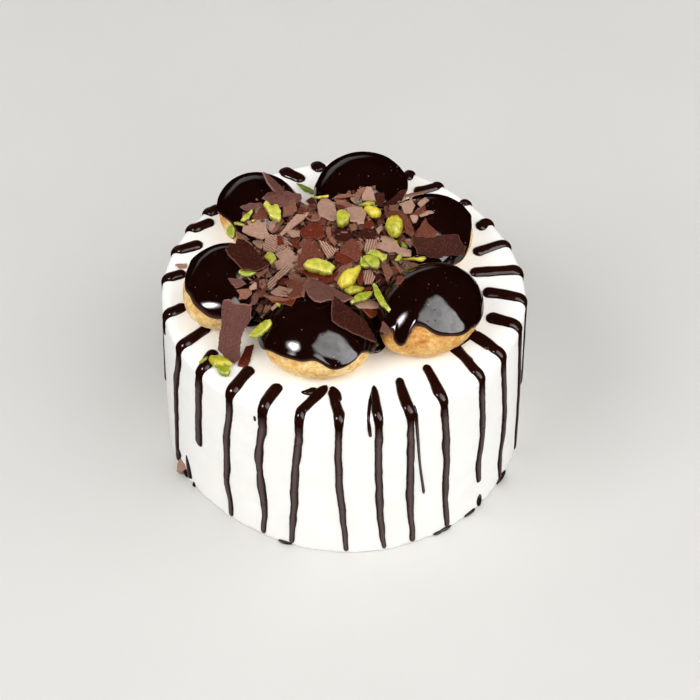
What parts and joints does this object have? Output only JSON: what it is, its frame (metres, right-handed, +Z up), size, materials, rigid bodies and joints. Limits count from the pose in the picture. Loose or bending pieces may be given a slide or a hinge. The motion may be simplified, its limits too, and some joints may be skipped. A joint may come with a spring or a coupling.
{
  "type": "profiterole cake",
  "caption": "Tall round cream cake with poured chocolate runs down its side, topped by glazed profiteroles round a heap of chocolate flakes and pistachios.",
  "frame": {"origin": "middle of the flat base, on the surface that the cake stands on", "axes": "+Z up through the middle of the cake; -Y towards the side with the large front profiterole; +X to its right"},
  "size_m": [0.1708, 0.1725, 0.128],
  "materials": {
    "cream": "smooth whipped cream",
    "choux": "golden baked choux crust",
    "dark_glaze": "wet, very glossy dark chocolate glaze",
    "flakes": "dry, satin chocolate"
  },
  "bodies": {
    "root": {"cake_body": "cream", "choux_front": "choux", "choux_right": "choux", "choux_right_back": "choux", "choux_back": "choux", "choux_left_back": "choux", "choux_left": "choux", "glaze_front": "dark_glaze", "glaze_right": "dark_glaze", "glaze_right_back": "dark_glaze", "glaze_back": "dark_glaze", "glaze_left_back": "dark_glaze", "glaze_left": "dark_glaze", "flake_heap": "flakes", "shard_left_front": "flakes", "shard_front": "flakes", "shard_right_back": "flakes", "shard_upright": "flakes", "shard_left": "flakes", "shard_middle": "flakes"}
  },
  "joints": []
}
